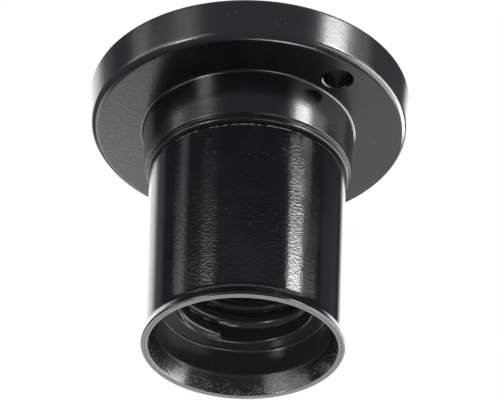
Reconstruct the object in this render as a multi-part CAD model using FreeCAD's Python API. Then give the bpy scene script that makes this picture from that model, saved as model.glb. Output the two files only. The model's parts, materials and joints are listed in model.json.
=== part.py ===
import FreeCAD, Part
import math
import os

# Straight ceiling lamp holder for a screw cap, in moulded phenolic. The base is screwed to the ceiling,
# the contact carrier drops into its collar on two keys, and the sleeve screws up into the collar and
# clamps the carrier. Millimetres; Z = 0 is the ceiling plane, +Z is up, so the lamp hangs along -Z.
# The two ceiling screws lie on the X axis.

# Base moulding: flange
flange_r = 33.0            # at the ceiling
flange_depth = 8.7         # ceiling plane to flange face
flange_draft = 0.8         # radius lost down the flange wall
flange_chamfer = 1.0       # lower edge of the flange
flange_wall = 2.6
web = 2.4                  # floor of the flange cavity
ceiling_screw_spacing = 52.0
ceiling_screw_r = 2.9      # clearance hole
ceiling_boss_wall = 2.3
hole_edge = 0.25           # break on the edge of each screw hole

# Base moulding: collar
collar_depth = 10.8        # flange face to lip
collar_wall = 2.2          # at the lip
collar_draft = 0.9         # radius gained up to the flange
root_fillet = 0.5
lip_band = 1.2             # height of the narrower band at the lip
lip_step = 0.45            # how far the band is set in
seat_drop = 1.6            # carrier seat below the flange face
seat_land = 2.0            # overlap of the seat and the carrier rim

# Fixing thread between collar and sleeve neck, coarse and trapezoidal
neck_pitch = 3.0
neck_start_deg = 100.0
neck_plain = 1.0           # neck above the last of its thread
neck_thread_depth = 0.9
neck_thread_root = 1.5     # width of a ridge at its root
neck_thread_crest = 0.9    # width of a ridge at its crest
thread_gap = 0.2           # radial clearance

# Sleeve
lip_gap = 0.6              # open joint between collar and sleeve
shoulder_set_in = 0.45     # sleeve shoulder inside the collar band
sleeve_taper = 0.95        # radius lost from shoulder to waist
skirt_length = 39.3        # shoulder to mouth
neck_wall = 2.0
chamber_ledge = 2.1        # step from the thread chamber out to the neck bore
shroud_r = 16.75           # bore below the ledge
shroud_depth = 9.4         # ledge to mouth
mouth_flare = 1.1          # radius gained by the bore at the mouth
mouth_flare_height = 4.0
rim_wall = 1.5
bead_height = 2.4          # outward bead round the mouth
edge_round = 0.4           # small moulded roundings
flat_break = 0.35          # a rounding smaller than this is a flat break

# Round screw-cap thread, 7 turns to the inch
cap_pitch = 25.4 / 7
cap_root_r = 13.3
cap_thread_depth = 1.1
cap_ridge_r = 1.32         # radius of the ridge's round nose
cap_turns = 3.9
cap_lead = 1.4             # ledge to the start of the thread
cap_start_deg = 162.0
ridge_bury = 0.5           # how far every ridge runs into the wall that carries it
end_step = 0.03            # blunt ends of the ridge inside its own nose

# Contact carrier
carrier_gap = 0.2          # carrier body in the sleeve neck
carrier_rim = 2.2          # thickness of the clamped rim
rim_gap = 0.6              # carrier rim inside the thread ridges
contact_height = 22.0      # ledge to the tip of the centre contact
nose_stand = 2.6           # tip below the carrier face
chamber_step = 1.2         # carrier face to the step in the sleeve
key_width = 5.0
key_reach = 1.4            # key beyond the seat opening
key_thickness = 2.8
key_height = 6.0
key_gap = 0.2
barrier_thickness = 1.0
barrier_height = 3.0
pocket_depth = 2.0
pocket_gap = 0.2

# Centre contact, its spring and the live terminal
nose_r = 2.6
plunger_rim_r = 3.8
plunger_rim = 1.2
plunger_gap = 0.15
plunger_stem_r = 1.9
plunger_stem = 3.4
carrier_web = 2.0          # carrier left under the spring bore
spring_wire_r = 0.35
spring_turns = 5.0
plate_thickness = 1.2
live_plate_width = 9.0
live_plate_back = 9.8      # reach beyond the axis, away from the wire
live_plate_front = 11.6    # reach beyond the axis, past the wire screw
live_wire_y = 7.6
live_screw_y = -7.2

# Side contact and the neutral terminal
neutral_inset = 6.2        # terminal line inside the neck bore
neutral_plate_width = 5.4
neutral_plate_back = 7.0
neutral_plate_front = 8.2
neutral_wire_y = -4.4
side_screw_y = 3.4
leaf_width = 4.2
leaf_thickness = 0.6
leaf_tail = 2.6            # leaf beyond its screw
leaf_bend_y = 0.6
leaf_reach = 0.45          # tip from the screw line, as a share of the thread root radius
leaf_drop = 5.0
leaf_foot = 0.8

# Terminal screws
wire_screw_r = 1.75
wire_head_r = 2.6
wire_head = 2.0
wire_screw_length = 5.0
washer_r = 2.7
washer_thickness = 0.8
washer_gap = 0.1
small_screw_r = 1.25
small_head_r = 2.1
small_head = 1.3
small_screw_length = 6.0
side_screw_r = 1.5
side_head_r = 2.6
side_head = 1.6
slot_width = 0.9
slot_share = 0.5           # slot depth as a share of the head
screw_gap = 0.05           # screws in their holes
relief = 0.4               # clearance hole under a terminal screw

# Levels along Z
flange_face_z = -flange_depth
web_top_z = flange_face_z + web
seat_z = flange_face_z - seat_drop
lip_z = flange_face_z - collar_depth
shoulder_z = lip_z - lip_gap
mouth_z = shoulder_z - skirt_length
ledge_z = mouth_z + shroud_depth
cap_start_z = ledge_z + cap_lead
nose_z = ledge_z + contact_height
carrier_face_z = nose_z + nose_stand
chamber_top_z = carrier_face_z - chamber_step
neck_top_z = seat_z - carrier_rim
neck_start_z = lip_z + neck_thread_root
neck_turns = (neck_top_z - neck_plain - neck_start_z) / neck_pitch
pocket_z = seat_z - pocket_depth
plate_top_z = pocket_z + plate_thickness
spring_floor_z = carrier_face_z + carrier_web

# Radii, from the carrier out to the collar
neck_bore_r = cap_root_r + chamber_ledge
carrier_r = neck_bore_r - carrier_gap
neck_core_r = neck_bore_r + neck_wall
neck_crest_r = neck_core_r + neck_thread_depth
collar_bore_r = neck_crest_r + thread_gap
collar_crest_r = collar_bore_r - neck_thread_depth
carrier_rim_r = collar_crest_r - rim_gap
seat_open_r = carrier_rim_r - seat_land
lip_r = collar_bore_r + collar_wall
band_r = lip_r - lip_step
collar_root_r = lip_r + collar_draft
shoulder_r = band_r - shoulder_set_in
waist_r = shoulder_r - sleeve_taper
mouth_bore_r = shroud_r + mouth_flare
mouth_r = mouth_bore_r + rim_wall
key_r = seat_open_r + key_reach
spring_bore_r = plunger_rim_r + plunger_gap
neutral_x = neck_bore_r - neutral_inset
leaf_tip_y = -leaf_reach * cap_root_r


def point(r, z):
    return FreeCAD.Vector(r, 0, z)


def tangent_lengths(corners):
    """Distance from each corner to where its rounding starts, kept inside the edges."""
    count = len(corners)
    lengths = []
    for i in range(count):
        here = point(*corners[i][:2])
        back = (point(*corners[i - 1][:2]) - here).normalize()
        ahead = (point(*corners[(i + 1) % count][:2]) - here).normalize()
        half = back.getAngle(ahead) / 2
        lengths.append(corners[i][2] / math.tan(half))
    for i in range(count):
        j = (i + 1) % count
        edge = point(*corners[i][:2]).distanceToPoint(point(*corners[j][:2]))
        wanted = lengths[i] + lengths[j]
        if wanted > 0.98 * edge:
            lengths[i] *= 0.98 * edge / wanted
            lengths[j] *= 0.98 * edge / wanted
    return lengths


def outline(corners):
    """Closed face in the XZ plane through (r, z, rounding) corners. Small roundings are flat breaks."""
    lengths = tangent_lengths(corners)
    count = len(corners)
    edges = []
    ends = []
    for i in range(count):
        here = point(*corners[i][:2])
        if lengths[i] < 1e-6:
            ends.append((here, here))
            continue
        back = (point(*corners[i - 1][:2]) - here).normalize()
        ahead = (point(*corners[(i + 1) % count][:2]) - here).normalize()
        half = back.getAngle(ahead) / 2
        start = here + back * lengths[i]
        end = here + ahead * lengths[i]
        rise = lengths[i] * (1 / math.cos(half) - math.tan(half))
        middle = here + (back + ahead).normalize() * rise
        if corners[i][2] < flat_break:
            edges.append(Part.makeLine(start, end))
        else:
            edges.append(Part.Arc(start, middle, end).toShape())
        ends.append((start, end))
    for i in range(count):
        leave = ends[i][1]
        arrive = ends[(i + 1) % count][0]
        if leave.distanceToPoint(arrive) > 1e-6:
            edges.append(Part.makeLine(leave, arrive))
    return Part.Face(Part.Wire(Part.__sortEdges__(edges)))


def spun(face, axis):
    """Solid made by turning a face once about an axis through the origin, facing outwards."""
    solid = face.revolve(FreeCAD.Vector(), axis, 360)
    if solid.Volume < 0:
        solid.reverse()
    return solid


def turned(corners):
    return spun(outline(corners), FreeCAD.Vector(0, 0, 1))


def rod(x, y, radius, low, high):
    return Part.makeCylinder(radius, high - low, FreeCAD.Vector(x, y, low))


def block(x0, x1, y0, y1, z0, z1, corner_r=0):
    """Box between two corners, its vertical edges rounded by corner_r."""
    solid = Part.makeBox(x1 - x0, y1 - y0, z1 - z0, FreeCAD.Vector(x0, y0, z0))
    if corner_r:
        upright = [e for e in solid.Edges if abs(e.tangentAt(e.FirstParameter).z) > 0.99]
        solid = solid.makeFillet(corner_r, upright)
    return solid


def ridge(profile, radius, pitch, turns, start_z, start_deg):
    """Helical ridge: a closed profile, drawn about z = 0, carried up a right-hand helix."""
    path = Part.Wire([Part.makeHelix(pitch, pitch * turns, radius)])
    solid = path.makePipeShell([profile], True, True)
    solid.rotate(FreeCAD.Vector(), FreeCAD.Vector(0, 0, 1), start_deg)
    solid.translate(FreeCAD.Vector(0, 0, start_z))
    return solid


def neck_thread(root_r, crest_r, start_deg):
    """Trapezoidal ridge whose flanks run on into the wall that carries it."""
    half_crest = neck_thread_crest / 2
    slope = (neck_thread_root / 2 - half_crest) / neck_thread_depth
    half_foot = neck_thread_root / 2 + slope * ridge_bury
    foot_r = root_r + math.copysign(ridge_bury, root_r - crest_r)
    points = [point(foot_r, -half_foot), point(crest_r, -half_crest)]
    points += [point(crest_r, half_crest), point(foot_r, half_foot)]
    profile = Part.makePolygon(points + points[:1])
    return ridge(profile, root_r, neck_pitch, neck_turns, neck_start_z, start_deg)


def round_end(radius, angle_deg, z):
    """Blunt end of the cap ridge: a ball on a short radial stem that is buried in the wall."""
    middle = point(radius, 0)
    end_r = cap_ridge_r - end_step
    stem = Part.makeCylinder(end_r, cap_root_r + ridge_bury - radius, middle, FreeCAD.Vector(1, 0, 0))
    solid = Part.makeSphere(end_r, middle).fuse(stem)
    solid.rotate(FreeCAD.Vector(), FreeCAD.Vector(0, 0, 1), angle_deg)
    solid.translate(FreeCAD.Vector(0, 0, z))
    return solid


def cap_thread():
    """The ridge that the lamp cap screws on: a round nose carried up the helix, blunt at both ends."""
    middle_r = cap_root_r - cap_thread_depth + cap_ridge_r
    foot_r = cap_root_r + ridge_bury
    top = point(middle_r, cap_ridge_r)
    bottom = point(middle_r, -cap_ridge_r)
    nose = Part.Arc(top, point(middle_r - cap_ridge_r, 0), bottom).toShape()
    foot = [point(foot_r, -cap_ridge_r), point(foot_r, cap_ridge_r)]
    sides = [Part.makeLine(bottom, foot[0]), Part.makeLine(foot[0], foot[1]), Part.makeLine(foot[1], top)]
    profile = Part.Wire([nose] + sides)
    body = ridge(profile, cap_root_r, cap_pitch, cap_turns, cap_start_z, cap_start_deg)
    first = round_end(middle_r, cap_start_deg, cap_start_z)
    last = round_end(middle_r, cap_start_deg + 360 * cap_turns, cap_start_z + cap_pitch * cap_turns)
    return body.fuse([first, last])


def cone(x, y, low_r, high_r, low, high):
    return Part.makeCone(low_r, high_r, high - low, FreeCAD.Vector(x, y, low))


def base():
    """Flange and collar in one moulding, hollow behind for the wiring."""
    wall_r = flange_r - flange_draft
    body = turned([
        (flange_r - flange_wall, 0, 0.3),
        (flange_r, 0, 0.5),
        (wall_r, flange_face_z + flange_chamfer, edge_round),
        (wall_r - flange_chamfer, flange_face_z, edge_round),
        (collar_root_r, flange_face_z, root_fillet),
        (lip_r, lip_z + lip_band, edge_round),
        (band_r, lip_z + lip_band, 0.1),
        (band_r, lip_z, 0.25),
        (collar_bore_r + 0.4, lip_z, 0),
        (collar_bore_r, lip_z + 0.4, 0),
        (collar_bore_r, seat_z, 0),
        (seat_open_r, seat_z, 0),
        (seat_open_r, web_top_z, 0.4),
        (wall_r - flange_wall, web_top_z, 0.8),
    ])
    body = body.fuse(neck_thread(collar_bore_r, collar_crest_r, neck_start_deg))
    for side in (-1, 1):
        x = side * ceiling_screw_spacing / 2
        boss = rod(x, 0, ceiling_screw_r + ceiling_boss_wall, flange_face_z + web / 2, 0)
        body = body.fuse(boss)
        body = body.cut(rod(x, 0, ceiling_screw_r, flange_face_z - 1, 1))
        edge_r = ceiling_screw_r + hole_edge
        body = body.cut(cone(x, 0, edge_r, ceiling_screw_r, flange_face_z, flange_face_z + hole_edge))
        slot_x = side * (key_r + key_gap)
        slot_y = key_width / 2 + key_gap
        low, high = sorted((side * (seat_open_r - 1), slot_x))
        body = body.cut(block(low, high, -slot_y, slot_y, seat_z - 0.5, web_top_z + 1))
    return body.removeSplitter()


def sleeve():
    """Skirt, shroud, lamp thread and threaded neck in one moulding."""
    body = turned([
        (mouth_bore_r, mouth_z, 0.3),
        (mouth_r, mouth_z, edge_round),
        (waist_r, mouth_z + bead_height, 2.0),
        (shoulder_r, shoulder_z, 0.5),
        (neck_core_r, shoulder_z, 0),
        (neck_core_r, neck_top_z, 0.4),
        (neck_bore_r, neck_top_z, 0.3),
        (neck_bore_r, chamber_top_z, 0.3),
        (cap_root_r, chamber_top_z, 0.3),
        (cap_root_r, ledge_z, edge_round),
        (shroud_r, ledge_z, edge_round),
        (shroud_r, mouth_z + mouth_flare_height, 1.0),
    ])
    body = body.fuse(cap_thread())
    return body.fuse(neck_thread(neck_core_r, neck_crest_r, neck_start_deg + 180)).removeSplitter()


def carrier_blank():
    """Carrier body with its clamped rim, its two keys and the barrier between the terminals."""
    body = turned([
        (0, carrier_face_z, 0),
        (carrier_r, carrier_face_z, 0.6),
        (carrier_r, neck_top_z, 0),
        (carrier_rim_r, neck_top_z, 0.2),
        (carrier_rim_r, seat_z, 0.4),
        (0, seat_z, 0),
    ])
    half = key_width / 2
    for side in (-1, 1):
        low, high = sorted((side * (key_r - key_thickness), side * key_r))
        body = body.fuse(block(low, high, -half, half, pocket_z, seat_z + key_height, 0.5))
    middle = (live_plate_width / 2 + neutral_x - neutral_plate_width / 2) / 2
    half = barrier_thickness / 2
    reach = math.sqrt(seat_open_r ** 2 - (middle + half) ** 2) - 1
    barrier = block(middle - half, middle + half, -reach, reach, pocket_z, seat_z + barrier_height)
    return body.fuse(barrier)


def live_plate_span():
    half = live_plate_width / 2
    return -half, half, -live_plate_back, live_plate_front


def neutral_plate_span():
    half = neutral_plate_width / 2
    return neutral_x - half, neutral_x + half, -neutral_plate_front, neutral_plate_back


def pocket(span):
    """Recess for a terminal plate, a little larger than the plate all round."""
    x0, x1, y0, y1 = span
    gap = pocket_gap
    return block(x0 - gap, x1 + gap, y0 - gap, y1 + gap, pocket_z, seat_z + barrier_height + 1, 1.0)


def contact_carrier():
    """Glazed ceramic carrier with the terminal pockets above and the contact face below."""
    body = carrier_blank()
    wire_low_z = plate_top_z + washer_thickness - wire_screw_length - 1
    cuts = [
        pocket(live_plate_span()),
        pocket(neutral_plate_span()),
        rod(0, 0, spring_bore_r, spring_floor_z, seat_z),
        rod(0, 0, nose_r + plunger_gap, carrier_face_z - 1, seat_z),
        rod(0, live_wire_y, wire_screw_r + relief, wire_low_z, seat_z),
        rod(neutral_x, neutral_wire_y, wire_screw_r + relief, wire_low_z, seat_z),
        rod(0, live_screw_y, small_screw_r + screw_gap, plate_top_z - small_screw_length - 0.5, seat_z),
        rod(neutral_x, side_screw_y, side_screw_r + screw_gap, carrier_face_z - 1, seat_z),
    ]
    for tool in cuts:
        body = body.cut(tool)
    half = leaf_width / 2 + pocket_gap
    tail = side_screw_y + leaf_tail + pocket_gap
    channel_z = carrier_face_z + leaf_thickness
    channel = block(neutral_x - half, neutral_x + half, leaf_bend_y - 1, tail, carrier_face_z - 1, channel_z)
    return body.cut(channel).removeSplitter()


def centre_contact():
    """Turned plunger: domed nose through the carrier, rim on its floor, stem inside the spring."""
    rim_top_z = spring_floor_z + plunger_rim
    return turned([
        (0, nose_z, 0),
        (nose_r * 0.55, nose_z, 0.8),
        (nose_r, nose_z + 1.1, 0.8),
        (nose_r, spring_floor_z, 0),
        (plunger_rim_r, spring_floor_z, 0.15),
        (plunger_rim_r, rim_top_z, 0.15),
        (plunger_stem_r, rim_top_z, 0),
        (plunger_stem_r, rim_top_z + plunger_stem, 0.4),
        (0, rim_top_z + plunger_stem, 0),
    ])


def contact_spring():
    """Coil between the plunger rim and the live plate."""
    low_z = spring_floor_z + plunger_rim + spring_wire_r
    height = pocket_z - spring_wire_r - low_z
    coil_r = (plunger_stem_r + spring_bore_r) / 2
    path = Part.Wire([Part.makeHelix(height / spring_turns, height, coil_r)])
    wire = Part.Circle(point(coil_r, 0), FreeCAD.Vector(0, 1, 0), spring_wire_r).toShape()
    solid = path.makePipeShell([Part.Wire([wire])], True, True)
    solid.translate(FreeCAD.Vector(0, 0, low_z))
    return solid


def terminal_plate(span, holes):
    """Flat brass plate in its pocket, with a hole for each screw."""
    plate = block(*span, pocket_z, plate_top_z, 0.8)
    for x, y, radius in holes:
        plate = plate.cut(rod(x, y, radius + screw_gap, pocket_z - 1, plate_top_z + 1))
    return plate


def live_terminal():
    holes = [(0, live_wire_y, wire_screw_r), (0, live_screw_y, small_screw_r)]
    return terminal_plate(live_plate_span(), holes)


def neutral_terminal():
    holes = [(neutral_x, neutral_wire_y, wire_screw_r), (neutral_x, side_screw_y, side_screw_r)]
    return terminal_plate(neutral_plate_span(), holes)


def beside(points, distance):
    """Points moved to the left of a YZ polyline by a distance, with mitred corners."""
    moved = []
    for i in range(len(points)):
        before = points[max(i, 1) - 1]
        here = points[max(i, 1)]
        left = FreeCAD.Vector(0, before.z - here.z, here.y - before.y).normalize()
        if 0 < i < len(points) - 1:
            after = points[i + 1]
            left = left + FreeCAD.Vector(0, here.z - after.z, after.y - here.y).normalize()
            left = left * (2 / left.Length ** 2)
        moved.append(points[i] + left * distance)
    return moved


def side_contact():
    """Bent leaf spring: tail under its screw, ramp down to the lamp cap, turned-up foot."""
    x0 = neutral_x - leaf_width / 2
    tip_z = carrier_face_z - leaf_drop
    side = [
        FreeCAD.Vector(x0, side_screw_y + leaf_tail, carrier_face_z),
        FreeCAD.Vector(x0, leaf_bend_y, carrier_face_z),
        FreeCAD.Vector(x0, leaf_tip_y, tip_z),
        FreeCAD.Vector(x0, leaf_tip_y - leaf_foot, tip_z + leaf_foot),
    ]
    other_side = beside(side, -leaf_thickness)
    points = side + other_side[::-1]
    face = Part.Face(Part.makePolygon(points + points[:1]))
    leaf = face.extrude(FreeCAD.Vector(leaf_width, 0, 0))
    hole_r = side_screw_r + screw_gap
    return leaf.cut(rod(neutral_x, side_screw_y, hole_r, carrier_face_z - 1, seat_z))


def screw(shank_r, length, head_r, head):
    """Pan-head screw standing on z = 0 by the underside of its head, shank down."""
    body = turned([
        (0, -length, 0),
        (shank_r, -length, 0.3),
        (shank_r, 0, 0),
        (head_r, 0, 0.1),
        (head_r, head, head * 0.6),
        (0, head, 0),
    ])
    half = slot_width / 2
    return body.cut(block(-head_r - 1, head_r + 1, -half, half, head * (1 - slot_share), head + 1))


def wire_screw(x, y):
    body = screw(wire_screw_r, wire_screw_length, wire_head_r, wire_head)
    body.translate(FreeCAD.Vector(x, y, plate_top_z + washer_thickness))
    return body


def wire_washer(x, y):
    low = plate_top_z
    high = low + washer_thickness
    disc = turned([(wire_screw_r + washer_gap, low, 0), (washer_r, low, 0.1),
                   (washer_r, high, 0.1), (wire_screw_r + washer_gap, high, 0)])
    disc.translate(FreeCAD.Vector(x, y, 0))
    return disc


def live_plate_screw():
    body = screw(small_screw_r, small_screw_length, small_head_r, small_head)
    body.translate(FreeCAD.Vector(0, live_screw_y, plate_top_z))
    return body


def side_contact_screw():
    """Screw from below that clamps the leaf and is tapped into the neutral plate."""
    length = plate_top_z - carrier_face_z
    body = screw(side_screw_r, length, side_head_r, side_head)
    body.rotate(FreeCAD.Vector(), FreeCAD.Vector(1, 0, 0), 180)
    body.translate(FreeCAD.Vector(neutral_x, side_screw_y, carrier_face_z))
    return body


pieces = {
    "base": base(),
    "sleeve": sleeve(),
    "contact_carrier": contact_carrier(),
    "centre_contact": centre_contact(),
    "contact_spring": contact_spring(),
    "live_terminal": live_terminal(),
    "live_plate_screw": live_plate_screw(),
    "live_wire_washer": wire_washer(0, live_wire_y),
    "live_wire_screw": wire_screw(0, live_wire_y),
    "neutral_terminal": neutral_terminal(),
    "neutral_wire_washer": wire_washer(neutral_x, neutral_wire_y),
    "neutral_wire_screw": wire_screw(neutral_x, neutral_wire_y),
    "side_contact": side_contact(),
    "side_contact_screw": side_contact_screw(),
}

os.makedirs("parts", exist_ok=True)
for name, shape in pieces.items():
    if len(shape.Solids) != 1 or not shape.isValid():
        raise ValueError(name + " is not one valid solid")
    shape.Solids[0].exportStep("parts/" + name + ".step")
    print(name, round(shape.Volume, 1))
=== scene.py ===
import json
import math

import bmesh
import bpy
import numpy as np
from mathutils import Matrix, Vector


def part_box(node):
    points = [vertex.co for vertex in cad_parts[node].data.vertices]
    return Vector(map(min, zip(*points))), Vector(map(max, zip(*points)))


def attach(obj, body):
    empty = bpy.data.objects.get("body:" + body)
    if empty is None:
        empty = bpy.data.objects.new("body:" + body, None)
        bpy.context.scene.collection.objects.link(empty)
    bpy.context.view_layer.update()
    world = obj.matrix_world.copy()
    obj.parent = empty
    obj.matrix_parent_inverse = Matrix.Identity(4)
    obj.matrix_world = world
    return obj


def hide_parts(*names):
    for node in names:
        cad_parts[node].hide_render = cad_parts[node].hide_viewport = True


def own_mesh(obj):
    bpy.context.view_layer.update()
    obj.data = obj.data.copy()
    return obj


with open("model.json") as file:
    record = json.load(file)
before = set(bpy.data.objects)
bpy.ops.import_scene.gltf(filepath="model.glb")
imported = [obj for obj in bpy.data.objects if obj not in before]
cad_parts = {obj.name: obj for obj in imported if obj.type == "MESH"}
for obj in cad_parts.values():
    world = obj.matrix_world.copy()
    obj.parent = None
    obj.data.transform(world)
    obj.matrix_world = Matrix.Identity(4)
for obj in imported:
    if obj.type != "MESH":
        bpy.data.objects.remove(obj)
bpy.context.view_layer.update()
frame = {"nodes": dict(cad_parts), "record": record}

mm = 0.001
weldDistance = 0.0001 * mm
creaseDegrees = 40  # edges sharper than this stay sharp
spotCore = 0.4  # share of a spot's size that is at full strength
onWall = 0.02  # a point this near to a wall's radius, in mm, lies on that wall
baseLow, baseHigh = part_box("base")
sleeveLow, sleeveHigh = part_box("sleeve")
springLow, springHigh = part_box("contact_spring")


def unit(rows):
    return rows / np.linalg.norm(rows, axis=-1, keepdims=True)


outlineForm = {"arcSteps": 7, "arcShare": 0.96, "evenFrom": 30}


def roundedOutline(corners, arcSteps=outlineForm["arcSteps"]):
    # Closed profile in (r, z). A corner is (r, z, rounding, cuts in the edge that follows). Its arc is
    # tangent to both edges and centred on the bisector at rounding / sin(half angle), and takes up at
    # most nearly half of an edge. The cuts crowd towards the ends of an edge by a cosine, unless there
    # are so many that the edge carries a thread.
    spots = np.array([c[:2] for c in corners], float)
    rounding = np.array([c[2] for c in corners], float)
    back = unit(np.roll(spots, 1, 0) - spots)
    ahead = unit(np.roll(spots, -1, 0) - spots)
    half = np.arccos(np.clip((back * ahead).sum(1), -1, 1)) / 2
    reach = rounding / np.tan(half)
    span = np.linalg.norm(np.roll(spots, -1, 0) - spots, axis=1)
    room = outlineForm["arcShare"] * np.minimum(span, np.roll(span, 1)) / 2
    reach = np.minimum(reach, room)
    rounding = reach * np.tan(half)
    starts = spots + back * reach[:, None]
    ends = spots + ahead * reach[:, None]
    middles = spots + unit(back + ahead) * (rounding / np.sin(half))[:, None]
    pieces = []
    for i, corner in enumerate(corners):
        if rounding[i] > 0:
            sweep = np.linspace(-0.5, 0.5, arcSteps)[:, None] * (math.pi - 2 * half[i])
            inward = unit(middles[i] - spots[i])
            along = unit(ends[i] - starts[i])
            pieces.append(middles[i] + rounding[i] * (along * np.sin(sweep) - inward * np.cos(sweep)))
        else:
            pieces.append(spots[i:i + 1])
        steps = corner[3]
        if steps:
            share = np.arange(1, steps + 1)[:, None] / (steps + 1)
            if steps < outlineForm["evenFrom"]:
                share = 0.5 - 0.5 * np.cos(math.pi * share)
            pieces.append(ends[i] + share * (starts[(i + 1) % len(corners)] - ends[i]))
    return np.concatenate(pieces)


def gridFaces(rows, columns, closedRows):
    # Quads between neighbouring points of a grid whose columns close into a ring.
    index = np.arange(rows * columns).reshape(rows, columns)
    if closedRows:
        lower = index
        upper = np.roll(index, -1, 0)
    else:
        lower = index[:-1]
        upper = index[1:]
    corners = (lower, np.roll(lower, -1, 1), np.roll(upper, -1, 1), upper)
    return np.stack(corners, -1).reshape(-1, 4)


def makePiece(name, points, faces, body, sharpDegrees):
    # Points are in millimetres. The sum of corner times area over the faces is the volume by the
    # divergence theorem, and its sign tells whether the faces point outwards.
    corners = points[faces]
    diagonal = np.cross(corners[:, 2] - corners[:, 0], corners[:, 3] - corners[:, 1])
    if (corners.mean(1) * diagonal).sum() < 0:
        faces = faces[:, ::-1]
    mesh = bpy.data.meshes.new(name)
    mesh.vertices.add(len(points))
    mesh.vertices.foreach_set("co", (points * mm).astype(np.float32).ravel())
    mesh.loops.add(faces.size)
    mesh.loops.foreach_set("vertex_index", faces.astype(np.int32).ravel())
    mesh.polygons.add(len(faces))
    mesh.polygons.foreach_set("loop_start", np.arange(0, faces.size, 4, dtype=np.int32))
    mesh.update(calc_edges=True)
    weld = bmesh.new()
    weld.from_mesh(mesh)
    bmesh.ops.remove_doubles(weld, verts=weld.verts, dist=weldDistance)
    weld.to_mesh(mesh)
    weld.free()
    piece = bpy.data.objects.new(name, mesh)
    bpy.context.scene.collection.objects.link(piece)
    smooth(piece, sharpDegrees)
    if body:
        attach(piece, body)
    return piece


def smooth(piece, sharpDegrees):
    mesh = piece.data
    mesh.polygons.foreach_set("use_smooth", np.ones(len(mesh.polygons), bool))
    mesh.set_sharp_from_angle(angle=math.radians(sharpDegrees))
    mesh.update()


def turned(profile, columns, radialShift=None, centre=(0, 0)):
    # Point (r, z) of the profile goes to (r cos t, r sin t, z) for every angle t of the ring, after a
    # radial shift that may depend on r, z and t.
    angle = np.linspace(0, 2 * math.pi, columns, endpoint=False)
    radius = np.repeat(profile[:, :1], columns, 1)
    height = np.repeat(profile[:, 1:], columns, 1)
    angle = np.repeat(angle[None], len(profile), 0)
    if radialShift:
        radius = radius + radialShift(radius, height, angle)
    x = centre[0] + radius * np.cos(angle)
    y = centre[1] + radius * np.sin(angle)
    return np.stack((x, y, height), -1).reshape(-1, 3)


def distanceToHelix(radius, height, angle, startZ, startAngle, pitch, turns):
    # Least distance, measured on the wall, to a right-hand helix that stops at both ends: past an end
    # the way round to that end counts too.
    first = ((angle - startAngle) % (2 * math.pi)) / (2 * math.pi)
    least = np.full_like(height, np.inf)
    for turn in range(-1, int(turns) + 2):
        wanted = first + turn
        place = np.clip(wanted, 0, turns)
        rise = height - startZ - pitch * place
        around = 2 * math.pi * radius * (wanted - place)
        least = np.minimum(least, np.hypot(rise, around))
    return least


def softStep(value, low, high):
    # Smooth 0 to 1 between two values.
    share = np.clip((value - low) / (high - low), 0, 1)
    return share * share * (3 - 2 * share)


class Wire:
    # One output socket; arithmetic on it adds Math nodes.
    def __init__(self, nodes, node, output):
        self.nodes = nodes
        self.node = node
        self.socket = node.outputs[output] if node.outputs else None

    def out(self, output):
        return Wire(self.nodes, self.node, output)

    def maths(self, operation, *others):
        return self.nodes.add("ShaderNodeMath", {"operation": operation}, dict(enumerate((self, *others))))

    def reflected(self, operation, other):
        return self.nodes.add("ShaderNodeMath", {"operation": operation}, {0: other, 1: self})

    def __add__(self, other):
        return self.maths("ADD", other)

    def __radd__(self, other):
        return self.reflected("ADD", other)

    def __sub__(self, other):
        return self.maths("SUBTRACT", other)

    def __rsub__(self, other):
        return self.reflected("SUBTRACT", other)

    def __mul__(self, other):
        return self.maths("MULTIPLY", other)

    def __rmul__(self, other):
        return self.reflected("MULTIPLY", other)

    def __truediv__(self, other):
        return self.maths("DIVIDE", other)

    def __rtruediv__(self, other):
        return self.reflected("DIVIDE", other)

    def __pow__(self, other):
        return self.maths("POWER", other)

    def between(self, low, high):
        # Smooth 0 to 1 as the value goes from low to high.
        return self.nodes.add("ShaderNodeMapRange", {"interpolation_type": "SMOOTHSTEP"},
                              {"Value": self, "From Min": low, "From Max": high})


class NodeSet:
    def __init__(self, tree):
        self.tree = tree
        tree.nodes.clear()

    def add(self, kind, settings=None, inputs=None, output=0):
        node = self.tree.nodes.new(kind)
        for key, value in (settings or {}).items():
            setattr(node, key, value)
        for key, value in (inputs or {}).items():
            if isinstance(value, Wire):
                self.tree.links.new(value.socket, node.inputs[key])
            else:
                node.inputs[key].default_value = value
        return Wire(self, node, output)

    def place(self, scale=(1, 1, 1)):
        here = self.add("ShaderNodeTexCoord", output="Object")
        return self.add("ShaderNodeMapping", None, {"Vector": here, "Scale": scale})

    def noise(self, scale, detail, roughness, stretch=(1, 1, 1)):
        inputs = {"Vector": self.place(stretch), "Scale": scale, "Detail": detail, "Roughness": roughness}
        return self.add("ShaderNodeTexNoise", None, inputs)

    def patches(self, scale, detail, roughness, low, high, stretch=(1, 1, 1)):
        # Noise that fades from 0 to 1 between two of its values.
        return self.noise(scale, detail, roughness, stretch).between(low, high)

    def stripes(self, measure, scale, detail):
        # Uneven stripes square to the way in which a measure grows.
        inputs = {"W": measure, "Scale": scale, "Detail": detail}
        return self.add("ShaderNodeTexNoise", {"noise_dimensions": "1D"}, inputs)

    def spots(self, scale, size):
        # 1 in the middle of small round spots scattered at random, 0 elsewhere.
        inputs = {"Vector": self.place(), "Scale": scale, "Randomness": 1.0}
        cell = self.add("ShaderNodeTexVoronoi", None, inputs, "Distance")
        return 1 - cell.between(size * spotCore, size)

    def blend(self, factor, low, high):
        return self.add("ShaderNodeMix", {"data_type": "RGBA"}, {0: factor, 6: low, 7: high}, 2)

    def bump(self, height, distance):
        return self.add("ShaderNodeBump", None, {"Height": height, "Distance": distance, "Strength": 1.0})

    def finish(self, inputs):
        shader = self.add("ShaderNodeBsdfPrincipled", None, inputs)
        self.add("ShaderNodeOutputMaterial", None, {"Surface": shader})


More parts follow.
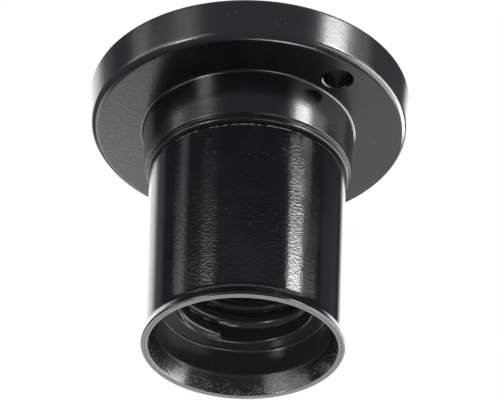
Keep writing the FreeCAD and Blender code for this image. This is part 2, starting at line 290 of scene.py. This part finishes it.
def newMaterial(name):
    material = bpy.data.materials.new(name)
    material.use_nodes = True
    return material, NodeSet(material.node_tree)


def grey(value):
    return (value, value, value, 1.0)


print("frame read")

phenolicFinish = {
    "black": (0.0046, 0.0049, 0.0053, 1.0),
    "flowMark": (0.0078, 0.0081, 0.0085, 1.0),
    # painted light: a lighter grey over the shade in the joint gap and inside the bore, and a painted sheen
    # on the flange's outer wall
    "paintedLight": (0.030, 0.031, 0.032, 1.0),
    "dust": (0.17, 0.165, 0.155, 1.0),
    # pale grains in the throat, and the painted dashed highlight along the shoulder edge
    "paleGrainsAndHighlight": (0.42, 0.41, 0.39, 1.0),
    "groundRim": (0.36, 0.355, 0.34, 1.0),
    "grooveRim": (0.15, 0.148, 0.142, 1.0),
    "refraction": 1.62,
    "bumpDepth": 0.000022,
    # scale, detail and roughness of a noise
    "peel": (1500.0, 2.0, 0.5),
    "wave": (260.0, 1.0, 0.5),
    # the same, and the two values between which a patch fades in
    "clouds": (95.0, 3.0, 0.6, 0.40, 0.72),
    "rubbed": (60.0, 4.0, 0.7, 0.52, 0.80),
    "lintPlaces": (140.0, 2.0, 0.5, 0.64, 0.76),
    "speckPlaces": (210.0, 2.0, 0.5, 0.60, 0.72),
    # scale and size of spots
    "lint": (560.0, 0.11),
    "specks": (1350.0, 0.17),
    "peelStretch": (1, 1, 1.5),
    "rubbedStretch": (1, 1, 0.25),
    "waveShare": 0.5,
    "lintShare": 0.4,
    "dustCover": 0.8,
    "dustHeight": 0.5,
    # share of painted sheen on the flange's outer wall
    "wallSheen": 0.4,
    "gapFade": 0.15,
    # how much duller than the gloss of the form
    "cloudDull": 0.035,
    "rubbedDull": 0.10,
    # duller where the painted light lies
    "paintedLightDull": 0.10,
    "dustDull": 0.3,
}
# Heights over the mouth and widths in mm; noises and spots as above.
mouthFinish = {
    "throatTop": (2.6, 4.6),
    "throatFade": 0.15,
    # share of painted light over the shade in the throat
    "throatLight": 0.25,
    "throatDull": 0.04,
    "boreFade": 0.1,
    "grains": (3000.0, 0.44),
    "grainPlaces": (500.0, 2.0, 0.5, 0.36, 0.56),
    "grainTop": (0.6, 3.6),
    "turning": (2.6, 2.0),
    "turningTop": (2.0, 3.6),
    "turningHeight": 1.6,
    "rimTop": (0.06, 0.13),
    "rimRagged": (900.0, 3.0, 0.6),
    "raggedHeight": 0.05,
    "rimDull": 0.40,
    "rings": (2.4, 3.0),
    "swirl": (1900.0, 3.0, 0.65),
    "ringShare": 0.75,
    "ringRange": (0.36, 0.60),
    # patches that break the painted highlight into dashes
    "dashedHighlightPlaces": (1000.0, 2.0, 0.5, 0.44, 0.56),
}


def mouthMasks(nodes, form, level, reach):
    # The worked places of a form with a mouth: the dusty throat and its grains, the bore and throat
    # where painted light lifts the shade, the ground rim and how worn its rings are, and a painted dashed
    # highlight along the shoulder edge, each from 0 to 1. The turning marks outside are a height.
    finish = mouthFinish
    rise = level - form["mouthZ"]
    inside = 1 - reach.between(form["throatR"], form["throatR"] + finish["throatFade"])
    throat = (1 - rise.between(*finish["throatTop"])) * inside
    past = reach.between(form["boreR"] - finish["boreFade"], form["boreR"] + finish["boreFade"])
    grains = nodes.spots(*finish["grains"]) * nodes.patches(*finish["grainPlaces"])
    turning = (1 - rise.between(*finish["turningTop"])) * (1 - inside) * finish["turningHeight"]
    ragged = finish["raggedHeight"] * nodes.noise(*finish["rimRagged"])
    rings = finish["ringShare"] * nodes.stripes(reach, *finish["rings"])
    swirl = (1 - finish["ringShare"]) * nodes.noise(*finish["swirl"])
    # painted highlight: a pale dashed line along the sleeve's shoulder edge
    dashedHighlight = level.between(*form["edgeZ"]) * reach.between(*form["edgeR"])
    return {
        "throat": throat,
        # painted light over the shade inside the bore, and at a share in the throat
        "bore": 1 - (1 - throat * finish["throatLight"]) * past,
        "grains": grains * throat * (1 - rise.between(*finish["grainTop"])),
        "turning": turning * nodes.stripes(level, *finish["turning"]),
        "rim": 1 - (rise - ragged).between(*finish["rimTop"]),
        "worn": (rings + swirl).between(*finish["ringRange"]),
        "dashedHighlight": dashedHighlight * nodes.patches(*finish["dashedHighlightPlaces"]),
    }


def mouldedPhenolic(name, form):
    # Glossy black moulding: orange peel from the mould, flow clouds, rubbed areas, a few specks of dust,
    # and a duller, lighter grey of painted light over the shade in the gap and, on a form that says so,
    # a painted sheen on its outer wall.
    finish = phenolicFinish
    material, nodes = newMaterial(name)
    axes = nodes.add("ShaderNodeSeparateXYZ", None, {0: nodes.add("ShaderNodeTexCoord", output="Object")})
    level = axes.out("Z") / mm
    reach = (axes.out("X") ** 2 + axes.out("Y") ** 2) ** 0.5 / mm
    clouds = nodes.patches(*finish["clouds"])
    rubbed = nodes.patches(*finish["rubbed"], stretch=finish["rubbedStretch"])
    dust = nodes.spots(*finish["lint"]) * nodes.patches(*finish["lintPlaces"]) * finish["lintShare"]
    dust = dust + nodes.spots(*finish["specks"]) * nodes.patches(*finish["speckPlaces"])
    # painted light: a lighter grey over the shade in the gap where the collar meets the sleeve
    outside = reach.between(form["gapR"] - finish["gapFade"], form["gapR"])
    paintedLight = (1 - outside) * level.between(*form["gapZ"])
    peel = nodes.noise(*finish["peel"], stretch=finish["peelStretch"])
    height = form["peel"] * (peel + finish["waveShare"] * nodes.noise(*finish["wave"]))
    height = height + finish["dustHeight"] * dust
    rough = form["gloss"] + finish["cloudDull"] * clouds + finish["rubbedDull"] * rubbed
    colour = nodes.blend(clouds, finish["black"], finish["flowMark"])
    # painted sheen: lighter grey towards the flange's outer wall
    if "sheenR" in form:
        colour = nodes.blend(finish["wallSheen"] * reach.between(*form["sheenR"]), colour, finish["paintedLight"])
    mouth = mouthMasks(nodes, form, level, reach) if "mouthZ" in form else None
    if mouth:
        # the bore's painted light joins the gap's
        paintedLight = 1 - (1 - paintedLight) * (1 - mouth["bore"])
        height = height + mouth["turning"]
        rough = rough + mouthFinish["throatDull"] * mouth["throat"]
    # lay the painted light over the colour
    colour = nodes.blend(paintedLight, colour, finish["paintedLight"])
    colour = nodes.blend(dust * finish["dustCover"], colour, finish["dust"])
    rough = rough + finish["paintedLightDull"] * paintedLight + finish["dustDull"] * dust
    if mouth:
        colour = nodes.blend(mouth["grains"], colour, finish["paleGrainsAndHighlight"])
        # painted dashed highlight along the shoulder edge
        colour = nodes.blend(mouth["dashedHighlight"], colour, finish["paleGrainsAndHighlight"])
        ground = nodes.blend(mouth["worn"], finish["grooveRim"], finish["groundRim"])
        colour = nodes.blend(mouth["rim"], colour, ground)
        rough = rough + mouth["rim"] * mouthFinish["rimDull"]
    normal = nodes.bump(height, finish["bumpDepth"])
    nodes.finish({"Base Color": colour, "Roughness": rough, "Normal": normal, "IOR": finish["refraction"]})
    return material


ceramicFinish = {
    "glaze": (0.74, 0.71, 0.63, 1.0),
    "warm": (0.62, 0.56, 0.46, 1.0),
    "iron": (0.20, 0.13, 0.08, 1.0),
    "tone": (130.0, 3.0, 0.6, 0.35, 0.75),
    "specks": (700.0, 0.13),
    "speckPlaces": (180.0, 2.0, 0.5, 0.50, 0.62),
    "crackleScale": 420.0,
    "crackleWidth": 0.035,
    "crackleHeight": 0.12,
    "waves": (300.0, 2.0, 0.5),
    "bumpDepth": 0.00005,
    "rough": 0.13,
    "mottle": (90.0, 3.0, 0.6),
    "mottleDull": 0.12,
    "speckDull": 0.15,
    "refraction": 1.54,
}


def glazedCeramic():
    # Cream glaze over pressed ceramic: slow tone change, iron specks, long soft waves and fine crackle.
    finish = ceramicFinish
    material, nodes = newMaterial("glazedCeramic")
    colour = nodes.blend(nodes.patches(*finish["tone"]), finish["glaze"], finish["warm"])
    specks = nodes.spots(*finish["specks"]) * nodes.patches(*finish["speckPlaces"])
    colour = nodes.blend(specks, colour, finish["iron"])
    cells = nodes.add("ShaderNodeTexVoronoi", {"feature": "DISTANCE_TO_EDGE"},
                      {"Vector": nodes.place(), "Scale": finish["crackleScale"]}, "Distance")
    crackle = cells.between(0.0, finish["crackleWidth"])
    mottle = nodes.noise(*finish["mottle"])
    rough = finish["rough"] + finish["mottleDull"] * mottle + finish["speckDull"] * specks
    height = nodes.noise(*finish["waves"]) + finish["crackleHeight"] * crackle
    normal = nodes.bump(height, finish["bumpDepth"])
    nodes.finish({"Base Color": colour, "Roughness": rough, "Normal": normal, "IOR": finish["refraction"]})
    return material


metalFinish = {
    "tarnish": (170.0, 4.0, 0.65, 0.38, 0.74),
    "lineNoise": (3.0, 0.7),
    "pits": (1100.0, 0.16),
    "pitPlaces": (260.0, 2.0, 0.5, 0.50, 0.64),
    "pitGrey": 0.06,
    "pitCover": 0.6,
    "pitHeight": 0.8,
    "pitDull": 0.25,
    "pitEarth": 0.4,
    "tarnishDull": 0.16,
    "lineDull": 0.10,
}
# Lines are drawn out along the way in which their stretch is small.
metals = {
    "brass": {"name": "rolledBrass", "bright": (0.83, 0.62, 0.27, 1.0), "dull": (0.55, 0.37, 0.16, 1.0),
              "rough": 0.20, "lineScale": 900.0, "stretch": (1, 0.05, 1), "bumpDepth": 0.000012},
    "bronze": {"name": "springBronze", "bright": (0.78, 0.52, 0.31, 1.0), "dull": (0.47, 0.29, 0.17, 1.0),
               "rough": 0.22, "lineScale": 900.0, "stretch": (0.05, 1, 1), "bumpDepth": 0.000012},
    "plated_steel": {"name": "zincPlate", "bright": (0.66, 0.66, 0.64, 1.0), "dull": (0.50, 0.49, 0.46, 1.0),
                     "rough": 0.24, "lineScale": 700.0, "stretch": (1, 1, 1), "bumpDepth": 0.000015},
    "spring_steel": {"name": "springWire", "bright": (0.50, 0.50, 0.51, 1.0), "dull": (0.30, 0.28, 0.27, 1.0),
                     "rough": 0.22, "lineScale": 1200.0, "stretch": (1, 1, 0.2), "bumpDepth": 0.000010},
}


def workedMetal(form):
    # Metal with tarnish clouds, drawn or rolled lines along one way, and small dark pits.
    finish = metalFinish
    material, nodes = newMaterial(form["name"])
    tarnish = nodes.patches(*finish["tarnish"])
    lines = nodes.noise(form["lineScale"], *finish["lineNoise"], form["stretch"])
    pits = nodes.spots(*finish["pits"]) * nodes.patches(*finish["pitPlaces"])
    colour = nodes.blend(tarnish, form["bright"], form["dull"])
    colour = nodes.blend(pits * finish["pitCover"], colour, grey(finish["pitGrey"]))
    rough = form["rough"] + finish["tarnishDull"] * tarnish + finish["lineDull"] * lines
    rough = rough + finish["pitDull"] * pits
    normal = nodes.bump(lines - finish["pitHeight"] * pits, form["bumpDepth"])
    metallic = 1.0 - finish["pitEarth"] * pits
    nodes.finish({"Base Color": colour, "Metallic": metallic, "Roughness": rough, "Normal": normal})
    return material


mouthZ = round(sleeveLow[2] / mm, 2)
neckTopZ = round(sleeveHigh[2] / mm, 2)
mouthR = round(sleeveHigh[0] / mm, 2)
lipZ = round(baseLow[2] / mm, 2)

sleeveForm = {
    "shoulderGap": 0.6,
    "rimWall": 1.5,
    "beadHeight": 2.4,
    "taper": 0.95,
    "shoulderR": 19.8,
    "neckCoreR": 17.4,
    "neckBoreR": 15.4,
    "chamberTop": 32.8,
    "threadRootR": 13.3,
    "ledge": 9.4,
    "shroudR": 16.75,
    "flareHeight": 4.0,
    "fineEdge": 0.3,
    "softEdge": 0.4,
    "shoulderEdge": 0.5,
    "beadBlend": 2.0,
    "flareBlend": 1.0,
    "columns": 288,
    # The moulded shoulder edge dips by up to twice this, within about this height. Waves round the
    # edge are given by share, number and phase.
    "uneven": 0.035,
    "unevenHeight": 0.35,
    "unevenWaves": ((0.5, 23, 0.0), (0.3, 41, 1.3), (0.2, 67, 0.4)),
    "unevenFrom": 1.2,  # this far outside the neck
    "gloss": 0.11,
    "peel": 1.0,
    # height of the gap where painted light lifts the shade
    "gapTop": 0.1,
    # The painted dashed highlight begins this far in and down from the shoulder corner, and fades in over
    # these.
    "dashedHighlight": 0.5,
    "dashedHighlightFade": (0.15, 0.10),
    # how far in the painted light of the throat and bore begins
    "throatIn": 0.15,
    "boreIn": 0.25,
}
capThread = {
    "start": 10.8,
    "startDegrees": 162.0,
    "pitch": 25.4 / 7,  # seven turns to the inch
    "turns": 3.9,
    "depth": 1.1,
    "noseR": 1.32,
    "flank": 2.2,
    "rootBlend": 0.10,
    "halfWidth": 2.2,
}
neckThread = {
    "pitch": 3.0,
    "root": 0.75,
    "crest": 0.45,
    "depth": 0.9,
    "start": 1.5,
    "plain": 1.0,
    "collarDegrees": 100.0,
    "sleeveDegrees": 280.0,
    "boreR": 18.5,
}


def capRidge(radius, height, angle):
    # Height of the lamp thread over its root wall at distance d from the helix: the square root of
    # nose radius squared less d squared, down to where the flank is steep, then a straight flank. The
    # mean of that height and the square root of its square plus blend squared melts it into the wall.
    form = capThread
    away = distanceToHelix(radius, height, angle, mouthZ + form["start"], math.radians(form["startDegrees"]),
                           form["pitch"], form["turns"])
    steep = form["noseR"] * math.sin(math.atan(form["flank"]))
    drop = form["noseR"] - form["depth"]
    cap = np.sqrt(np.maximum(form["noseR"] ** 2 - np.minimum(away, steep) ** 2, 0)) - drop
    rise = cap - form["flank"] * np.maximum(away - steep, 0)
    blend = form["rootBlend"]
    melted = 0.5 * (rise + np.sqrt(rise ** 2 + blend ** 2))
    return np.where(away < form["halfWidth"], melted, 0)


def neckRidge(radius, height, angle, degrees):
    # Height of the trapezoidal fixing thread: its depth within the crest's half width of the helix,
    # falling by a smooth step to nothing at the root's half width.
    form = neckThread
    startZ = lipZ + form["start"]
    turns = (neckTopZ - form["plain"] - startZ) / form["pitch"]
    away = distanceToHelix(radius, height, angle, startZ, math.radians(degrees), form["pitch"], turns)
    share = (form["root"] - away) / (form["root"] - form["crest"])
    return form["depth"] * softStep(share, 0, 1)


def sleeveShift(radius, height, angle):
    # The lamp thread stands in from the root bore, the fixing thread stands out from the neck, and the
    # shoulder edge is a few hundredths uneven as moulded: a bell curve of the height over the shoulder
    # times one plus a sum of sine waves of the angle.
    form = sleeveForm
    inBore = np.abs(radius - form["threadRootR"]) < onWall
    onNeck = np.abs(radius - form["neckCoreR"]) < onWall
    shift = -capRidge(radius, height, angle) * inBore
    shift = shift + neckRidge(radius, height, angle, neckThread["sleeveDegrees"]) * onNeck
    shoulderZ = lipZ - form["shoulderGap"]
    bell = np.exp(-((height - shoulderZ) / form["unevenHeight"]) ** 2)
    nearShoulder = bell * (radius > form["neckCoreR"] + form["unevenFrom"])
    waves = sum(share * np.sin(number * angle + phase) for share, number, phase in form["unevenWaves"])
    return shift - form["uneven"] * nearShoulder * (1 + waves)


def makeSleeve():
    form = sleeveForm
    shoulderZ = lipZ - form["shoulderGap"]
    ledgeZ = mouthZ + form["ledge"]
    chamberZ = mouthZ + form["chamberTop"]
    fine = form["fineEdge"]
    soft = form["softEdge"]
    profile = roundedOutline([
        (mouthR - form["rimWall"], mouthZ, fine, 4),
        (mouthR, mouthZ, soft, 4),
        (form["shoulderR"] - form["taper"], mouthZ + form["beadHeight"], form["beadBlend"], 16),
        (form["shoulderR"], shoulderZ, form["shoulderEdge"], 4),
        (form["neckCoreR"], shoulderZ, 0, 50),
        (form["neckCoreR"], neckTopZ, soft, 2),
        (form["neckBoreR"], neckTopZ, fine, 6),
        (form["neckBoreR"], chamberZ, fine, 3),
        (form["threadRootR"], chamberZ, fine, 138),
        (form["threadRootR"], ledgeZ, soft, 4),
        (form["shroudR"], ledgeZ, soft, 6),
        (form["shroudR"], mouthZ + form["flareHeight"], form["flareBlend"], 6),
    ])
    points = turned(profile, form["columns"], sleeveShift)
    faces = gridFaces(len(profile), form["columns"], True)
    sleeve = makePiece("sleeveShell", points, faces, "sleeve", creaseDegrees)
    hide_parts("sleeve")
    edgeR = form["shoulderR"] - form["dashedHighlight"]
    edgeZ = shoulderZ - form["dashedHighlight"]
    places = {
        "gloss": form["gloss"],
        "peel": form["peel"],
        # gapR and gapZ bound the painted light in the gap
        "gapR": edgeR,
        "gapZ": (shoulderZ - form["gapTop"], shoulderZ),
        # where the painted dashed highlight lies along the shoulder edge
        "edgeR": (edgeR, edgeR + form["dashedHighlightFade"][0]),
        "edgeZ": (edgeZ, edgeZ + form["dashedHighlightFade"][1]),
        "mouthZ": mouthZ,
        # throatR and boreR bound the painted light in the throat and bore
        "throatR": mouthR - form["rimWall"] + form["throatIn"],
        "boreR": form["shroudR"] + form["boreIn"],
    }
    sleeve.data.materials.append(mouldedPhenolic("phenolicSleeve", places))
    return sleeve


baseForm = {
    "flangeR": 33.0,
    "depth": 8.7,
    "draft": 0.8,
    "chamfer": 1.0,
    "wall": 2.6,
    "web": 2.4,
    "collarWall": 2.2,
    "collarDraft": 0.9,
    "band": 1.2,
    "bandStep": 0.45,
    "seatDrop": 1.6,
    "seatOpenR": 15.0,
    "holeSpacing": 52.0,
    "holeR": 2.9,
    "bossR": 5.2,
    "holeEdge": 0.25,
    "holeRounding": 0.2,
    "bossEdge": 0.25,
    "bossCoreR": 0.4,  # inner radius of the ring that a boss starts as; the hole takes it away
    "keySlot": (14.0, 16.6, 2.7),  # inner and outer reach, half width
    "slotDrop": 0.5,
    "overCut": 1.0,
    "fineEdge": 0.3,
    "softEdge": 0.4,
    "rimEdge": 0.5,
    "flangeEdge": 1.3,
    "collarRoot": 0.5,
    "bandRoot": 0.12,
    "lipEdge": 0.25,
    "lipInnerEdge": 0.35,
    "backCorner": 0.8,
    "columns": 288,
    "gloss": 0.19,
    "peel": 0.8,
    # where the painted sheen on the outer wall fades in
    "sheenIn": (1.2, 0.4),  # from and to this far in from the wall's radius
    # where painted light lifts the shade in the gap under the lip
    "gapIn": 0.15,
    "gapRise": (2.0, 1.2),
}


def collarShift(radius, height, angle):
    # The fixing thread stands in from the collar's bore.
    inBore = np.abs(radius - neckThread["boreR"]) < onWall
    return -neckRidge(radius, height, angle, neckThread["collarDegrees"]) * inBore


toolForm = {"columns": 96, "arcSteps": 5, "sharpDegrees": 30}


def tool(points, faces):
    # A closed solid used only to cut or add, taken away afterwards.
    return makePiece("tool", points, faces, None, toolForm["sharpDegrees"])


def upright(x, corners):
    # A turned tool that stands at a place on the X axis.
    profile = roundedOutline(corners, toolForm["arcSteps"])
    columns = toolForm["columns"]
    return tool(turned(profile, columns, None, (x, 0)), gridFaces(len(profile), columns, True))


def combine(piece, other, operation):
    # Adds or cuts by the other solid for good, and removes that solid.
    change = piece.modifiers.new(operation, "BOOLEAN")
    change.operation = operation
    change.solver = "EXACT"
    change.object = other
    shown = piece.evaluated_get(bpy.context.evaluated_depsgraph_get())
    result = bpy.data.meshes.new_from_object(shown)
    piece.modifiers.clear()
    old = piece.data
    piece.data = result
    bpy.data.meshes.remove(old)
    bpy.data.objects.remove(other, do_unlink=True)


def boxTool(low, high):
    # Eight corners of a box and its six faces.
    levels = (low[2], high[2])
    depths = (low[1], high[1])
    widths = (low[0], high[0])
    spots = np.array([[x, y, z] for z in levels for y in depths for x in widths])
    faces = np.array([[0, 2, 3, 1], [4, 5, 7, 6], [0, 1, 5, 4], [2, 6, 7, 3], [0, 4, 6, 2], [1, 3, 7, 5]])
    return tool(spots, faces)


def makeBase():
    form = baseForm
    faceZ = -form["depth"]
    seatZ = faceZ - form["seatDrop"]
    webZ = faceZ + form["web"]
    flangeR = form["flangeR"]
    wallR = flangeR - form["draft"]
    lipR = neckThread["boreR"] + form["collarWall"]
    bandR = lipR - form["bandStep"]
    soft = form["softEdge"]
    profile = roundedOutline([
        (flangeR - form["wall"], 0, form["fineEdge"], 2),
        (flangeR, 0, form["rimEdge"], 8),
        (wallR, faceZ + form["chamfer"], form["flangeEdge"], 1),
        (wallR - form["chamfer"], faceZ, form["flangeEdge"], 10),
        (lipR + form["collarDraft"], faceZ, form["collarRoot"], 12),
        (lipR, lipZ + form["band"], soft, 1),
        (bandR, lipZ + form["band"], form["bandRoot"], 3),
        (bandR, lipZ, form["lipEdge"], 3),
        (neckThread["boreR"], lipZ, form["lipInnerEdge"], 56),
        (neckThread["boreR"], seatZ, 0, 5),
        (form["seatOpenR"], seatZ, 0, 4),
        (form["seatOpenR"], webZ, soft, 8),
        (wallR - form["wall"], webZ, form["backCorner"], 5),
    ])
    points = turned(profile, form["columns"], collarShift)
    faces = gridFaces(len(profile), form["columns"], True)
    base = makePiece("baseShell", points, faces, "base", creaseDegrees)
    coreR = form["bossCoreR"]
    bossZ = faceZ + form["web"] / 2
    over = form["overCut"]
    edgeR = form["holeR"] + form["holeEdge"]
    inner, outer, half = form["keySlot"]
    for side in (-1, 1):
        x = side * form["holeSpacing"] / 2
        boss = [(coreR, bossZ, 0, 0), (form["bossR"], bossZ, 0, 3),
                (form["bossR"], 0, form["bossEdge"], 2), (coreR, 0, 0, 0)]
        combine(base, upright(x, boss), "UNION")
        hole = [(0, over, 0, 0), (0, faceZ - over, 0, 0),
                (edgeR, faceZ - over, 0, 0), (edgeR, faceZ, 0, 1),
                (form["holeR"], faceZ + form["holeEdge"], form["holeRounding"], 8),
                (form["holeR"], over, 0, 0)]
        combine(base, upright(x, hole), "DIFFERENCE")
        low = (min(side * inner, side * outer), -half, seatZ - form["slotDrop"])
        high = (max(side * inner, side * outer), half, webZ + over)
        combine(base, boxTool(low, high), "DIFFERENCE")
    smooth(base, creaseDegrees)
    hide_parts("base")
    base.data.materials.clear()
    places = {
        "gloss": form["gloss"],
        "peel": form["peel"],
        # where the painted sheen on the outer wall fades in
        "sheenR": (wallR - form["sheenIn"][0], wallR - form["sheenIn"][1]),
        # the gap under the lip where painted light lifts the shade
        "gapR": bandR - form["gapIn"],
        "gapZ": (lipZ + form["gapRise"][0], lipZ + form["gapRise"][1]),
    }
    base.data.materials.append(mouldedPhenolic("phenolicBase", places))
    return base


springForm = {"wireR": 0.35, "turns": 5.0, "stepsPerTurn": 60, "around": 16, "sharpDegrees": 50}


def makeSpring():
    # A circle of the wire's radius carried along a helix: its middle goes round at the coil's radius and
    # climbs evenly, and the circle stands square to the path. It shrinks to a point at both ends.
    form = springForm
    wireR = form["wireR"]
    coilR = springHigh[0] / mm - wireR
    low = springLow[2] / mm + wireR
    high = springHigh[2] / mm - wireR
    share = np.linspace(0, 1, int(form["turns"] * form["stepsPerTurn"]) + 1)
    share = np.concatenate((share[:1], share, share[-1:]))[:, None]
    angle = 2 * math.pi * form["turns"] * share
    zero = np.zeros_like(angle)
    outward = np.hstack((np.cos(angle), np.sin(angle), zero))
    middle = coilR * outward + np.hstack((zero, zero, low + (high - low) * share))
    climb = (high - low) / (2 * math.pi * form["turns"])
    along = unit(np.hstack((-coilR * np.sin(angle), coilR * np.cos(angle), np.full_like(angle, climb))))
    above = np.cross(outward, along)
    width = np.full_like(angle, wireR)
    width[[0, -1]] = 0
    turn = np.linspace(0, 2 * math.pi, form["around"], endpoint=False)[None, :, None]
    ring = outward[:, None] * np.cos(turn) + above[:, None] * np.sin(turn)
    points = (middle[:, None] + width[:, None] * ring).reshape(-1, 3)
    spring = makePiece("springCoil", points, gridFaces(len(share), form["around"], False), "carrier",
                       form["sharpDegrees"])
    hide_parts("contact_spring")
    joints = frame["record"]["behaviour"]["joints"]
    travel = next(row for row in joints if row["name"] == "centre_contact_press")
    keep = 1 - travel["range_m"][1] / (springHigh[2] - springLow[2])
    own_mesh(spring)
    return spring


makeSleeve()
print("sleeve made")
makeBase()
print("base made")
springCoil = makeSpring()
print("spring made")

finishes = {"ceramic": glazedCeramic()}
for slotName, form in metals.items():
    finishes[slotName] = workedMetal(form)
slotOf = {part["node"]: part["material_slot"] for part in frame["record"]["subparts"]}
for name, node in frame["nodes"].items():
    finish = finishes.get(slotOf[name])
    if finish:
        for place in node.material_slots:
            place.material = finish
springCoil.data.materials.append(finishes["spring_steel"])
print("finishes given")

viewpoint = {
    "azimuthDegrees": -41.7,
    "distance": 0.3584,
    "z": -0.2735,
    "headingDegrees": 138.2,
    "climbDegrees": 34.77,
    "rollDegrees": 1.52,
    "lens": 156.8,
    "sensor": 36.0,
    "nearest": 0.01,
}


def makeCamera():
    # The camera stands round the lamp axis by azimuth and distance, looks along heading and climb, and
    # rolls about its own line of sight.
    azimuth = math.radians(viewpoint["azimuthDegrees"])
    heading = math.radians(viewpoint["headingDegrees"])
    climb = math.radians(viewpoint["climbDegrees"])
    roll = math.radians(viewpoint["rollDegrees"])
    level = math.cos(climb)
    ahead = Vector((level * math.cos(heading), level * math.sin(heading), math.sin(climb)))
    right = ahead.cross(Vector((0, 0, 1))).normalized()
    above = right.cross(ahead)
    tiltedRight = right * math.cos(roll) + above * math.sin(roll)
    tiltedUp = above * math.cos(roll) - right * math.sin(roll)
    data = bpy.data.cameras.new("camera")
    data.sensor_width = viewpoint["sensor"]
    data.lens = viewpoint["lens"]
    data.clip_start = viewpoint["nearest"]
    camera = bpy.data.objects.new("camera", data)
    bpy.context.scene.collection.objects.link(camera)
    turn = Matrix((tiltedRight, tiltedUp, -ahead)).transposed().to_4x4()
    reach = viewpoint["distance"]
    spot = Vector((reach * math.cos(azimuth), reach * math.sin(azimuth), viewpoint["z"]))
    camera.matrix_world = Matrix.Translation(spot) @ turn
    bpy.context.scene.camera = camera


studio = {
    "fill": 0.85,
    "room": 0.055,
    "shade": (0.86, 1.0, 1.08, 1.0),
    "glow": 0.16,
    "glowTop": (26.5, 30.0),
    "tintRange": (0.0, 0.8),
    "floorZ": -0.60,
    "floorSize": 14.0,
    # azimuth and half width, low and high climb, soft edge (degrees), level
    "panels": {
        "softbox": (17.0, 8.5, 8.0, 30.2, 1.0, 20.0),
        "softboxWing": (36.0, 11.0, 5.0, 29.3, 1.5, 2.2),
        "softboxCrown": (31.0, 6.0, 32.5, 44.0, 3.0, 1.0),
        "softboxFoot": (45.0, 40.0, -36.0, -17.0, 6.0, 4.5),
        "rightSill": (66.0, 36.0, -15.0, 2.0, 4.0, 12.0),
        "leftLamp": (275.0, 8.0, 27.3, 28.4, 0.9, 6.0),
        "leftLampFoot": (271.0, 6.0, -31.0, -16.0, 5.0, 20.0),
        "leftGlow": (256.0, 20.0, 5.0, 28.4, 1.0, 0.9),
        "belt": (319.0, 60.0, 27.2, 29.0, 1.6, 0.35),
        "frontCrown": (319.0, 80.0, 43.0, 58.0, 4.0, 1.2),
        "frontSill": (262.0, 28.0, -16.0, 12.0, 8.0, 2.2),
        "nadir": (72.0, 50.0, -86.0, -72.0, 5.0, 9.0),
        "sidePanel": (236.0, 7.0, 5.0, 31.0, 1.5, 1.3),
        "sideCrown": (240.0, 5.0, 31.0, 37.0, 3.0, 0.45),
        "farLeft": (196.0, 10.0, 20.0, 36.0, 5.0, 0.22),
        "rightWall": (74.0, 17.0, 20.0, 34.0, 4.0, 0.12),
        "backdrop": (146.0, 40.0, 14.0, 60.0, 12.0, 2.0),
        "underLeft": (166.0, 26.0, -38.0, -18.0, 9.0, 2.6),
        "underRight": (111.0, 26.0, -60.0, -18.0, 8.0, 0.87),
    },
}


def panelLevel(nodes, flat, climb, panel):
    # Brightness of a soft-edged panel: full within half its width of its azimuth and between two climbs.
    azimuth, halfWidth, low, high, soft = (math.radians(angle) for angle in panel[:5])
    facing = flat.out("X") * math.cos(azimuth) + flat.out("Y") * math.sin(azimuth)
    across = facing.between(math.cos(halfWidth + soft / 2), math.cos(halfWidth - soft / 2))
    over = climb.between(high - soft / 2, high + soft / 2)
    upward = climb.between(low - soft / 2, low + soft / 2) * (1 - over)
    return across * upward * panel[5]


def makeWorld():
    # A camera ray sees plain white. A mirrored ray sees a dim room, a glow over all that is low, and the
    # panels. Any other ray sees an even fill. Dim light leans to blue.
    world = bpy.data.worlds.new("studio")
    bpy.context.scene.world = world
    world.use_nodes = True
    nodes = NodeSet(world.node_tree)
    way = nodes.add("ShaderNodeTexCoord", output="Generated")
    level = nodes.add("ShaderNodeVectorMath", {"operation": "MULTIPLY"}, {0: way, 1: (1.0, 1.0, 0.0)})
    flat = nodes.add("ShaderNodeSeparateXYZ", None,
                     {0: nodes.add("ShaderNodeVectorMath", {"operation": "NORMALIZE"}, {0: level})}, "X")
    climb = nodes.add("ShaderNodeSeparateXYZ", None, {0: way}).out("Z").maths("ARCSINE")
    glowLow, glowHigh = (math.radians(angle) for angle in studio["glowTop"])
    seen = studio["room"] + studio["glow"] * (1 - climb.between(glowLow, glowHigh))
    for panel in studio["panels"].values():
        seen = seen + panelLevel(nodes, flat, climb, panel)
    rays = nodes.add("ShaderNodeLightPath", output="Is Camera Ray")
    glossy = rays.out("Is Glossy Ray") * (1 - rays)
    other = 1 - glossy - rays
    strength = rays + glossy * seen + other * studio["fill"]
    tint = nodes.blend(strength.between(*studio["tintRange"]), studio["shade"], grey(1.0))
    background = nodes.add("ShaderNodeBackground", None, {"Color": tint, "Strength": strength})
    nodes.add("ShaderNodeOutputWorld", None, {"Surface": background})


floorFinish = {"grain": (4.0, 3.0, 0.5), "low": 0.83, "high": 0.86, "rough": 0.8}


def makeFloor():
    # Flat sheet well below the part; mirror-like reflections look past it to the panels.
    half = studio["floorSize"] / 2
    mesh = bpy.data.meshes.new("floor")
    spots = [(-half, -half, 0), (half, -half, 0), (half, half, 0), (-half, half, 0)]
    mesh.from_pydata([(x, y, studio["floorZ"]) for x, y, z in spots], [], [(0, 1, 2, 3)])
    floor = bpy.data.objects.new("floor", mesh)
    bpy.context.scene.collection.objects.link(floor)
    floor.visible_glossy = False
    material, nodes = newMaterial("paleFloor")
    grain = nodes.noise(*floorFinish["grain"])
    tone = nodes.blend(grain, grey(floorFinish["low"]), grey(floorFinish["high"]))
    nodes.finish({"Base Color": tone, "Roughness": floorFinish["rough"]})
    mesh.materials.append(material)


makeCamera()
makeWorld()
makeFloor()
bpy.context.scene.view_settings.view_transform = "Standard"
print("studio set")
